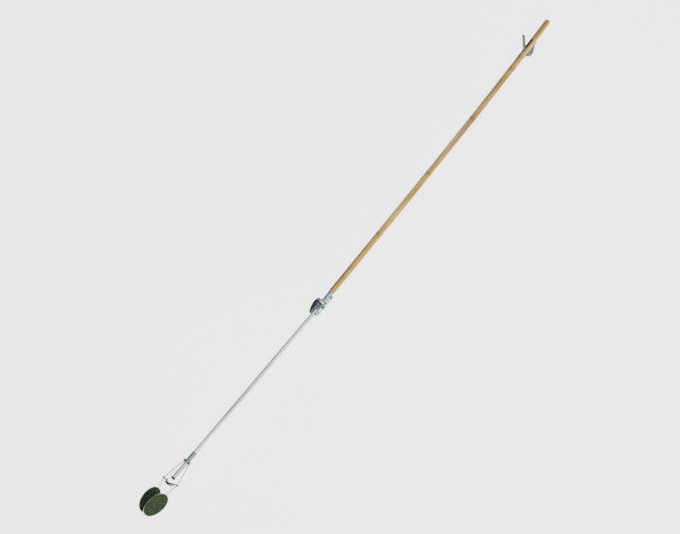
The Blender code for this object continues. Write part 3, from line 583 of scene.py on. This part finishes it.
def make_world():
    """A studio sky: bright overhead and to the -Y side, dark near the horizon."""
    world = bpy.data.worlds.new("studio")
    world.use_nodes = True
    tree = world.node_tree
    place = tree.nodes.new("ShaderNodeTexCoord")
    split = tree.nodes.new("ShaderNodeSeparateXYZ")
    lean = tree.nodes.new("ShaderNodeMath")
    lean.operation = "MULTIPLY_ADD"
    lean.inputs[1].default_value = SKY_LEAN
    ramp = tree.nodes.new("ShaderNodeValToRGB")
    low, high = ramp.color_ramp.elements
    low.position, high.position = SKY_DARK_BELOW, SKY_BRIGHT_ABOVE
    low.color, high.color = (0.004, 0.005, 0.006, 1), (0.92, 0.96, 1.0, 1)
    tree.links.new(place.outputs["Generated"], split.inputs["Vector"])
    tree.links.new(split.outputs["Y"], lean.inputs[0])
    tree.links.new(split.outputs["Z"], lean.inputs[2])
    tree.links.new(lean.outputs["Value"], ramp.inputs["Fac"])
    tree.links.new(ramp.outputs["Color"], tree.nodes["Background"].inputs["Color"])
    tree.nodes["Background"].inputs["Strength"].default_value = SKY_STRENGTH
    bpy.context.scene.world = world


make_camera()
make_floor()
make_world()
make_light("key", (0.3, -3.1, 3.6), (6.0, 1.6), 170)
make_light("fill", (-0.5, 0.8, 4.6), (5.0, 1.0), 22)


# ---- handle ----
def bulge(away, height, width):
    """A smooth bump of the given height that fades out over the width."""
    return height * math.exp(-(away / width) ** 2)


def cane_radius(along, angle):
    """The bamboo's radius: full between the joints, with a ridge and a groove at each joint."""
    radius = CANE_RADIUS * (1.0 - CANE_TAPER * along / CANE_LENGTH)
    for index, place in enumerate(NODE_PLACES):
        away = along - place
        slant = RIDGE_SLANT * math.cos(angle + index)
        swelling = bulge(away - 0.001, 0.00055, 0.0065)
        ridge = bulge(away - RIDGE_OFFSET - slant, 0.00060, 0.0011)
        scar = bulge(away + SCAR_OFFSET - slant, 0.00075, 0.0008)
        radius += swelling + ridge - scar
    spot = Vector((along * 9, math.cos(angle) * 0.9, math.sin(angle) * 0.9))
    fibre = Vector((along * 3, math.cos(angle) * 8, math.sin(angle) * 8))
    return radius + 0.00016 * noise.noise(spot) + 0.00005 * noise.noise(fibre)


def cane_rings():
    """The (along, share of the full radius) rings of the cane's outside, from the domed top down."""
    dome_depth, dome_steps = 0.0120, 12
    close_step, near_step, far_step = 0.0005, 0.0015, 0.0060
    close, near = 0.007, 0.016
    rings = []
    for step in range(dome_steps + 1):
        angle = math.pi / 2 * step / dome_steps
        rings.append((CANE_LENGTH - dome_depth * (1 - math.cos(angle) ** 0.9), math.sin(angle) ** 0.8))
    places = []
    x = 0.0006
    while x < CANE_LENGTH - dome_depth - 0.002:
        places.append(round(x, 6))
        nearest = min(abs(x - place) for place in NODE_PLACES)
        x += close_step if nearest < close else near_step if nearest < near else far_step
    return rings + [(x, 1.0) for x in reversed(places)] + [(0.0, 0.955)]


def shade_joints(cane):
    """Stores how dark each point is for the bamboo's joints: a thin line in a wide halo."""
    shade = cane.data.attributes.new("joint_shade", "FLOAT", "POINT")
    to_cane = CANE.inverted()
    for vertex in cane.data.vertices:
        local = to_cane @ vertex.co
        angle = math.atan2(local.z - cane_lift(local.x), local.y)
        darkest = 0.0
        for index, place in enumerate(NODE_PLACES):
            away = local.x - place + SCAR_OFFSET - RIDGE_SLANT * math.cos(angle + index)
            darkest = max(darkest, bulge(away, 0.85, 0.0009), bulge(away, 0.30, 0.0075))
        shade.data[vertex.index].value = darkest


def make_cane():
    """The bamboo: a hollow cane with a domed top and a long slot for the trigger lever."""
    bore_end = CANE_LENGTH - CANE_BORE_END
    bore_steps = 60
    shares = {}
    for index, (x, share) in enumerate(cane_rings()):
        # a nanometre apart, so that each ring has a place of its own
        shares[x + index * 1e-9] = share
    profile = [(x, share * CANE_RADIUS) for x, share in shares.items()]
    profile += [(0.0, CANE_BORE + 0.0004), (0.0006, CANE_BORE)]
    profile += [(bore_end * i / bore_steps, CANE_BORE) for i in range(1, bore_steps + 1)]
    profile.append((bore_end, 0))

    def ripple(along, angle):
        if along in shares:
            return shares[along] * (cane_radius(along, angle) - CANE_RADIUS)
        return 0.0

    bm = lathe(profile, Matrix.Identity(4), 72, ripple)
    for vertex in bm.verts:
        vertex.co.z += cane_lift(vertex.co.x)
        vertex.co = CANE @ vertex.co
    cane = new_piece(bm, "cane_bamboo", "bamboo", "handle", "cane", sharp=50)
    low, high = (TRIGGER_FROM_TOP - distance for distance in reversed(SLOT_FROM_TOP))
    boolean(cane, slot_shape(low, high, SLOT_HALF, TRIGGER))
    shade_joints(cane)

    # faces in the bore and on the slot's walls get the second material: painted shade inside the cane
    cane.data.materials.append(LOOKS["bamboo_inside_painted_shade"])
    to_cane, to_trigger = CANE.inverted(), TRIGGER.inverted()
    for face in cane.data.polygons:
        local, across = to_cane @ face.center, to_trigger @ face.center
        radius = math.hypot(local.y, local.z - cane_lift(local.x))
        in_bore = radius < CANE_BORE + 0.0006 and local.x < bore_end + 0.001
        beside_slot = abs(across.y) < SLOT_HALF + 0.0001 and low - 0.0002 < across.x < high + 0.0002
        if in_bore or beside_slot and radius < CANE_RADIUS - 0.0004:
            face.material_index = 1


def make_ferrule():
    """The turned socket below the cane, with a raised bead, a fine groove and a spigot into the bore."""
    bottom, wire_hole = 0.0205, 0.0026
    top, neck = PIVOT_TO_CANE + SPIGOT_LENGTH, PIVOT_TO_CANE - GAP
    bead_low, bead_high, bead = 0.0526, 0.0554, FERRULE_RADIUS + 0.0005
    groove_low, groove_high, groove = 0.0284, 0.0296, FERRULE_RADIUS - 0.0003
    slope = 0.0004
    profile = [(top, wire_hole), (top, SPIGOT_RADIUS - 0.0008), (top - 0.001, SPIGOT_RADIUS),
               (neck, SPIGOT_RADIUS), (neck, FERRULE_RADIUS), (bead_high + slope, FERRULE_RADIUS),
               (bead_high, bead), (bead_low, bead), (bead_low - slope, FERRULE_RADIUS),
               (groove_high + slope, FERRULE_RADIUS), (groove_high, groove), (groove_low, groove),
               (groove_low - slope, FERRULE_RADIUS), (bottom, FERRULE_RADIUS), (bottom, wire_hole)]
    new_piece(lathe(soften(profile, 0.0004), HANDLE, 64), "ferrule_turned", "zinc", "handle", "ferrule")


def make_slot_band():
    """The band round the cane below the trigger, with rolled edges."""
    x = TRIGGER_X + SLOT_BAND_X
    inner, outer = CANE_RADIUS + GAP, CANE_RADIUS + 0.0011
    half, roll, flat = 0.0030, 0.0020, 0.0012
    profile = [(half, inner), (half, outer - 0.0005), (roll, outer), (flat, outer - 0.0002)]
    profile += [(-along, radius) for along, radius in reversed(profile)]
    place = moved(CANE, x, 0, cane_lift(x)) @ CANE_TURN
    new_piece(lathe(soften(profile, 0.0002), place, 72), "slot_band_pressed", "dull", "handle", "slot_band",
              slot="bright_plate")


make_cane()
make_ferrule()
make_slot_band()
for cad_node, finish in (("fold_bracket", "zinc"), ("tube_tongue", "zinc"), ("trigger_bracket", "teal"),
                         ("cam_lock_lever", "teal"), ("trigger_lever", "lever"), ("stop_plate", "bright"),
                         ("anchor_sleeve", "dull")):
    refined(cad_node, finish)


# ---- fasteners ----
def turn_to(axis):
    """A rotation that lays the X axis of a turned profile along Y or Z."""
    return {"X": Matrix.Identity(4), "Y": Matrix.Rotation(math.radians(90), 4, "Z"),
            "Z": Matrix.Rotation(math.radians(-90), 4, "Y")}[axis]


def fastener(node, place, axis, profile, look="zinc", drive=None, round_off=0.0003):
    """A turned pin, rivet, screw or washer.

    drive is the (outer face, radius) of a head that has a screwdriver slot."""
    matrix = place @ turn_to(axis)
    piece = new_piece(lathe(soften(profile, round_off), matrix, 40), node + "_turned", look,
                      frame["nodes"][node]["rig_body"], node, slot="zinc", sharp=40)
    if drive:
        face, radius = drive
        bm = bmesh.new()
        bmesh.ops.create_cube(bm, size=1.0)
        bmesh.ops.scale(bm, vec=(2 * DRIVE_DEPTH, DRIVE_WIDTH, radius * 2.4), verts=bm.verts)
        bmesh.ops.translate(bm, vec=(face, 0, 0), verts=bm.verts)
        bmesh.ops.transform(bm, matrix=matrix, verts=bm.verts)
        boolean(piece, bm)


def riveted(half, radius, head):
    """A pin with a low peened head, head deep, at half from its middle on each side."""
    end = [(half + head, 0), (half + head, 0.45 * radius), (half + 0.7 * head, radius + 0.0003),
           (half, radius + 0.0008), (half, radius)]
    return end + [(-along, size) for along, size in reversed(end)]


def tube_profile(low, high, inner, outer):
    """The profile of a plain tube for lathe."""
    return [(low, inner), (low, outer), (high, outer), (high, inner)]


def make_handle_fasteners():
    for index, x in enumerate(SPIGOT_PIN_PLACES):
        fastener(f"ferrule_pin_{index + 1}", moved(CANE, x), "Y",
                 riveted(CANE_RADIUS + 0.0002, SPIGOT_PIN_RADIUS, 0.0008))
    fastener("lock_lever_pin", moved(HANDLE, *LOCK_PIN), "Z", riveted(0.0099, LOCK_PIN_RADIUS, 0.0005))

    seat, end = 0.0119, -0.0200
    bolt = [(seat + 0.0024, 0), (seat + 0.0022, 0.0036), (seat + 0.0014, 0.0050), (seat, 0.0050),
            (seat, BOLT_RADIUS), (end + 0.0012, BOLT_RADIUS), (end, BOLT_RADIUS - 0.0008), (end, 0)]
    fastener("pivot_bolt", HANDLE, "Y", bolt)
    fastener("pivot_washer", HANDLE, "Y", tube_profile(-0.0153, -0.0147, BOLT_RADIUS + GAP, 0.0072), "bright",
             round_off=0.0001)


def make_tube_fasteners():
    fastener("tube_rivet", moved(LOWER, TUBE_RIVET_X), "Y",
             riveted(TUBE_RADIUS + GAP, TUBE_RIVET_RADIUS, 0.0011))
    place = moved(LOWER, STOP_SCREW_X)
    fastener("plate_spacer", place, "Y", tube_profile(-0.0116, -0.0085, STOP_SCREW_RADIUS + GAP, 0.0052))
    tip, seat, face = -0.0070, -0.0146, -0.0166
    head = 0.0036
    screw = [(tip, 0), (tip, STOP_SCREW_RADIUS), (seat, STOP_SCREW_RADIUS), (seat, head),
             (seat - 0.0008, head), (face, 0.0022), (face, 0)]
    fastener("plate_screw", place, "Y", screw, "dark", (face, head))


def make_trigger_fasteners():
    fastener("trigger_pin", moved(TRIGGER, 0, 0, TRIGGER_PIN_Z), "Y",
             riveted(0.0069, TRIGGER_PIN_RADIUS, 0.0009))
    head, rim = 0.0026, 0.0024
    for index, (x, foot) in enumerate(zip(BRACKET_SCREW_PLACES, BRACKET_FEET)):
        seat = foot - GAP
        face = seat - 0.0016
        screw = [(-0.0078, 0), (-0.0090, BRACKET_SCREW_RADIUS), (seat + 0.0001, BRACKET_SCREW_RADIUS),
                 (seat, head), (seat - 0.0010, rim), (face, BRACKET_SCREW_RADIUS), (face, 0)]
        fastener(f"bracket_screw_{index + 1}", moved(TRIGGER, x), "Z", screw, drive=(face, head))


def make_jaw_pins():
    for side, sign in SIDES:
        place = moved(LOWER, ARM_X, sign * ARM_Y)
        fastener(f"jaw_pin_{side}", place, "Z", riveted(0.0053, JAW_PIN_RADIUS, 0.0005))
        fastener(f"jaw_knuckle_{side}", place, "Z",
                 tube_profile(-0.0030, 0.0030, JAW_PIN_RADIUS + GAP, 0.0028))


def hexagon(node, place, axis, corner, low, high, bore):
    """A blackened nut from low to high along its axis, with its corners turned off."""
    matrix = place @ turn_to(axis)
    lying = Matrix.Translation(((low + high) / 2, 0, 0)) @ Matrix.Rotation(math.radians(90), 4, "Y")
    bm = bmesh.new()
    bmesh.ops.create_cone(bm, cap_ends=True, segments=6, radius1=corner, radius2=corner, depth=high - low)
    bmesh.ops.transform(bm, matrix=matrix @ lying, verts=bm.verts)
    nut = new_piece(bm, node + "_hex", "dark", frame["nodes"][node]["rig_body"], node, sharp=30)
    start, end = low - 0.001, high + 0.001
    boolean(nut, lathe([(start, bore), (start, 0), (end, 0), (end, bore)], matrix, 32))
    edges = nut.modifiers.new("Edges", "BEVEL")
    edges.width = 0.0003
    edges.segments = 2
    edges.limit_method = "ANGLE"


# ---- lower pole ----
def make_tube():
    """The drawn tube with its open slot for the pull wire, and the plug in its end."""
    edge = 0.0003
    steps = 60
    step_length = (TUBE_END - TUBE_TOP) / steps
    profile = [(TUBE_TOP, TUBE_INNER), (TUBE_TOP, TUBE_RADIUS - edge), (TUBE_TOP - edge, TUBE_RADIUS)]
    profile += [(TUBE_TOP + step_length * i, TUBE_RADIUS) for i in range(1, steps)]
    profile += [(TUBE_END + edge, TUBE_RADIUS), (TUBE_END, TUBE_RADIUS - edge), (TUBE_END, TUBE_INNER)]
    tube = new_piece(lathe(profile, LOWER, 72), "lower_tube_drawn", "aluminium", "lower_pole", "lower_tube")
    exit_place = moved(LOWER, EXIT_X) @ Matrix.Rotation(EXIT_TURN, 4, "X")
    boolean(tube, slot_shape(*EXIT_SLOT, EXIT_SLOT_HALF, exit_place, depth=0.0140, floor=0.0020))

    inner, lip, bore = TUBE_INNER - GAP, TUBE_RADIUS + 0.0006, 0.0016
    top, seat, end = TUBE_END + 0.014, TUBE_END - GAP, TUBE_END - 0.0090
    plug = [(top, bore), (top, inner), (seat, inner), (seat, lip), (end + 0.0010, lip),
            (end, TUBE_RADIUS - 0.0006), (end, bore)]
    new_piece(lathe(soften(plug, 0.0006), LOWER, 56), "tube_end_plug_turned", "dark", "lower_pole",
              "tube_end_plug")


def plate_section(y):
    """The (x, z) loop of the guide plate there, from the middle of its top round one side and back."""
    def dish(depth):
        return -depth * (0.5 + 0.5 * math.cos(math.pi * min(abs(y) / PLATE_FLAT_FROM, 1.0)))

    half = PLATE_WIDTH * max(0.010, 1 - abs(y / PLATE_HALF) ** 2.6) ** 0.5
    top, low = dish(PLATE_DIP), dish(PLATE_BELLY) - PLATE_THICKNESS
    lip = min(0.0011, (top - low) / 4)
    groove = 0.0016 * max(0.0, 1 - (y / 0.030) ** 4)
    swell = 0.0002
    # from the top face to mid-height, as (depth below the top in lips, z)
    flank = [(0.35, half), (0.9, half - 0.05 * lip), (1.3, half - 0.9 * groove), (1.7, half - groove)]
    side = [(top, 0.0), (top, 0.45 * half), (top + swell, 0.8 * half), (top, half - 0.45 * lip)]
    side += [(top - share * lip, z) for share, z in flank]
    side += [(low + share * lip, z) for share, z in reversed(flank)]
    side += [(low, half - 0.45 * lip), (low - swell, 0.8 * half), (low, 0.45 * half), (low, 0.0)]
    return side + [(x, -z) for x, z in reversed(side[1:-1])]


def make_guide_plate():
    """The dished oval plate: a crescent with a channel along each long side and rounded ends."""
    columns = 96
    bm = bmesh.new()
    loops = []
    for column in range(columns + 1):
        y = PLATE_HALF * math.sin((-1 + 2 * column / columns) * math.pi / 2)
        loops.append([bm.verts.new(TILTED @ Vector((x, y, z))) for x, z in plate_section(y)])
    for first, second in zip(loops, loops[1:]):
        for index in range(len(first)):
            following = (index + 1) % len(first)
            bm.faces.new((first[index], first[following], second[following], second[index]))
    bm.faces.new(loops[0][::-1])
    bm.faces.new(loops[-1])
    plate = new_piece(bm, "guide_plate_dished", "dark", "guide", "guide_plate", sharp=50)

    def hole(matrix, radius):
        boolean(plate, lathe([(-0.03, radius), (-0.03, 0), (0.03, 0), (0.03, radius)], matrix, 32))

    hole(GUIDE, 0.0042)
    hole(moved(GUIDE, 0, *around(OUTER_WIRE)), PULL_WIRE_HOLE + GAP)
    inner, neck, crown, flange = 0.0036, 0.0040, 0.0044, 0.0056
    top, bottom = GAP, -PLATE_THICKNESS - GAP
    rim = [(0.0010, neck - 0.0002), (0.0013, crown), (0.0010, flange - 0.0004), (0.0, flange)]
    profile = [(top + rise, radius) for rise, radius in rim] + [(top, neck), (bottom, neck)]
    profile += [(bottom - rise, radius) for rise, radius in reversed(rim)] + [(bottom, inner), (top, inner)]
    for side, sign in SIDES:
        place = moved(TILTED, 0, sign * EYELET_Y)
        hole(place, neck + GAP)
        new_piece(lathe(soften(profile, 0.0003), place, 48), f"eyelet_{side}_rolled", "zinc", "guide",
                  f"eyelet_{side}", sharp=60)


def make_pull_wires():
    """The cable from trigger to guide plate, in two lengths that meet at the fold."""
    steps = 90
    start, end = 0.0106, PIVOT_TO_CANE + TRIGGER_X - 0.0052
    upper = []
    for index in range(steps + 1):
        x = start + (end - start) * index / steps
        upper.append(HANDLE @ Vector((x, 0, cane_lift(x - PIVOT_TO_CANE))))
    new_piece(tube_along(upper, PULL_WIRE), "upper_pull_wire_drawn", "steel", "upper_wire", "upper_pull_wire")

    inside = [Vector((TUBE_TOP - 0.0025 - 0.0440 * i, 0, 0)) for i in range(17)]
    bend = []
    bend_start, bend_length, bend_steps = EXIT_X + 0.0050, 0.0230, 24
    for index in range(bend_steps + 1):
        t = index / bend_steps
        out = OUTER_WIRE * (0.5 - 0.5 * math.cos(math.pi * t))
        bend.append(Vector((bend_start - bend_length * t, *around(out))))
    outside = [Vector((x, *around(OUTER_WIRE))) for x in (-0.8050, -0.8400)]
    path = [LOWER @ point for point in inside + bend + outside]
    new_piece(tube_along(path, PULL_WIRE), "lower_pull_wire_drawn", "steel", "guide", "lower_pull_wire")

    place = moved(GUIDE, 0, *around(OUTER_WIRE))
    hexagon("pull_wire_nut", place, "X", 0.0027, -0.0042, 0.0, PULL_WIRE_HOLE)
    crimp = tube_profile(-0.0192, -0.0152, PULL_WIRE_HOLE, 0.0019)
    new_piece(lathe(soften(crimp, 0.0003), place, 32), "pull_wire_ferrule_pressed", "zinc", "guide",
              "pull_wire_ferrule")


# ---- return spring ----
def make_spring():
    """The return spring and the collar that it pushes on, inside the cane."""
    per_turn = 32
    low = TRIGGER_X + SPRING_FROM_TRIGGER
    coil = []
    for index in range(SPRING_TURNS * per_turn + 1):
        angle = 2 * math.pi * index / per_turn
        x = low + SPRING_PITCH * index / per_turn
        y, z = SPRING_RADIUS * math.cos(angle), SPRING_RADIUS * math.sin(angle)
        coil.append(CANE @ Vector((x, y, z + cane_lift(x))))
    new_piece(tube_along(coil, SPRING_WIRE, 10), "return_spring_coiled", "steel",
              frame["nodes"]["return_spring"]["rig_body"], "return_spring")

    collar_x = low + SPRING_PITCH * SPRING_TURNS + 0.0015
    place = moved(CANE, collar_x, 0, cane_lift(collar_x)) @ CANE_TURN
    radius, top, bottom = 0.0048, 0.0020, -0.0004
    profile = [(top, PULL_WIRE_HOLE), (top, radius - 0.0008), (top - 0.0006, radius), (bottom, radius),
               (bottom, PULL_WIRE_HOLE)]
    new_piece(lathe(soften(profile, 0.0002), place, 40), "spring_collar_turned", "zinc",
              frame["nodes"]["spring_collar"]["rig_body"], "spring_collar")


# ---- jaws ----
def felt_pad(name, node, body, place, out):
    """A disc of felt: thinner and ragged towards its edge, uneven and fibrous over its face."""
    rings, around_steps = 34, 180
    edge = DISC_RADIUS - 0.0004
    inner = CORE_HALF + GAP
    thin_from, thinning = 0.955, 0.75
    seed = len(name)
    bm = bmesh.new()

    def corner(ring, step, face):
        angle = 2 * math.pi * step / around_steps
        share = ring / rings
        spot = Vector((math.cos(angle), math.sin(angle), out * 0.7 + seed))
        ragged = 0.00035 * noise.noise(spot * 14) + 0.00015 * noise.noise(spot * 45)
        radius = share * (edge + ragged)
        x, z = radius * math.cos(angle), radius * math.sin(angle)
        fall = max(0.0, (share - thin_from) / (1 - thin_from))
        if face:
            uneven = Vector((x, z, 0.02 * seed))
            rough = 0.00022 * noise.noise(uneven * 120) + 0.00012 * noise.noise(uneven * 420)
            depth = inner + PAD_THICKNESS * (1 - thinning * fall ** 2) + rough
        else:
            depth = inner + 0.00005 - 0.0006 * fall
        return place @ Vector((x, out * depth, z))

    sheets = []
    for face in (True, False):
        middle = bm.verts.new(corner(0, 0, face))
        lines = [[bm.verts.new(corner(ring, step, face)) for step in range(around_steps)]
                 for ring in range(1, rings + 1)]
        sheets.append(lines)
        for step in range(around_steps):
            following = (step + 1) % around_steps
            bm.faces.new((middle, lines[0][step], lines[0][following]))
            for first, second in zip(lines, lines[1:]):
                bm.faces.new((first[step], first[following], second[following], second[step]))
    front, back = sheets[0][-1], sheets[1][-1]
    for step in range(around_steps):
        following = (step + 1) % around_steps
        bm.faces.new((front[step], front[following], back[following], back[step]))
    pad = new_piece(bm, name, "felt", body, node, sharp=80)


def make_disc(side, place):
    """The sheet disc with a rolled rim, drilled for the ends of its two wires."""
    half = [(CORE_HALF, 0), (CORE_HALF, DISC_RADIUS - 0.0020), (CORE_HALF - 0.0003, DISC_RADIUS - 0.0009),
            (CORE_HALF - 0.0008, DISC_RADIUS - 0.0002), (CORE_HALF - 0.0013, DISC_RADIUS)]
    rolled = half + [(-along, radius) for along, radius in reversed(half)]
    core = new_piece(lathe(rolled, place @ turn_to("Y"), 160), f"disc_core_{side}_pressed", "disc",
                     f"jaw_{side}", f"disc_core_{side}")
    low, high, radius = DISC_RADIUS - LEG_DEPTH - 0.0005, DISC_RADIUS + 0.01, WIRE_RADIUS + GAP
    for up in (1, -1):
        boolean(core, lathe([(low, 0), (high, 0), (high, radius), (low, radius)],
                            moved(place, 0, 0, up * LEG_SPREAD), 24))


def wire_points(sign, centre, inward):
    """The upper wire of a jaw, from the sleeve's ear by way of the eyelet into the disc's rim."""
    steps = 28
    start = Vector((ARM_X - 0.0034, sign * (ARM_Y + 0.0008), 0))
    outward = sign * EYELET_Y
    eyelet = Vector((PLATE_X - outward * math.sin(PLATE_TILT), outward * math.cos(PLATE_TILT), 0))
    rim = centre + inward * (DISC_RADIUS + 0.0004)
    tip = centre + inward * (DISC_RADIUS - LEG_DEPTH)
    points = []
    for index in range(steps + 1):
        t = index / steps
        bowed = 1.22 * t - 0.22 * t * t
        points.append(Vector((start.x + (eyelet.x - start.x) * t, start.y + (eyelet.y - start.y) * bowed,
                              LEG_CLOSE)))
    for index in range(1, steps + 1):
        t = index / steps
        crossing = eyelet.lerp(rim, t)
        spread = LEG_CLOSE + (LEG_SPREAD - LEG_CLOSE) * (0.5 - 0.5 * math.cos(math.pi * t))
        points.append(Vector((crossing.x, crossing.y, spread)))
    return points + [Vector((tip.x, tip.y, LEG_SPREAD))]


def make_jaw(side, sign):
    """One jaw: its disc, the felt on both faces and its pair of sprung wires."""
    centre = Vector((DISC_X, sign * JAW_HALF_GAP, 0))
    turn = sign * JAW_ANGLE
    disc = moved(LOWER, *centre) @ Matrix.Rotation(turn, 4, "Z")
    make_disc(side, disc)
    for where, out in (("grip", -sign), ("back", sign)):
        felt_pad(f"{where}_felt_{side}", f"{where}_pad_{side}", f"jaw_{side}", disc, out)
    points = wire_points(sign, centre, Vector((math.cos(turn), math.sin(turn), 0)))
    for level, up in (("upper", 1), ("lower", -1)):
        path = [LOWER @ Vector((point.x, point.y, up * point.z)) for point in points]
        new_piece(tube_along(path, WIRE_RADIUS), f"jaw_wire_{side}_{level}_bent", "steel", f"jaw_{side}",
                  f"jaw_wire_{side}_{level}")


make_handle_fasteners()
make_tube_fasteners()
make_trigger_fasteners()
make_jaw_pins()
hexagon("pivot_nut", HANDLE, "Y", 0.0060, -0.0191, -0.0155, BOLT_RADIUS + GAP)
make_tube()
make_guide_plate()
make_pull_wires()
make_spring()
for side_name, side_sign in SIDES:
    make_jaw(side_name, side_sign)
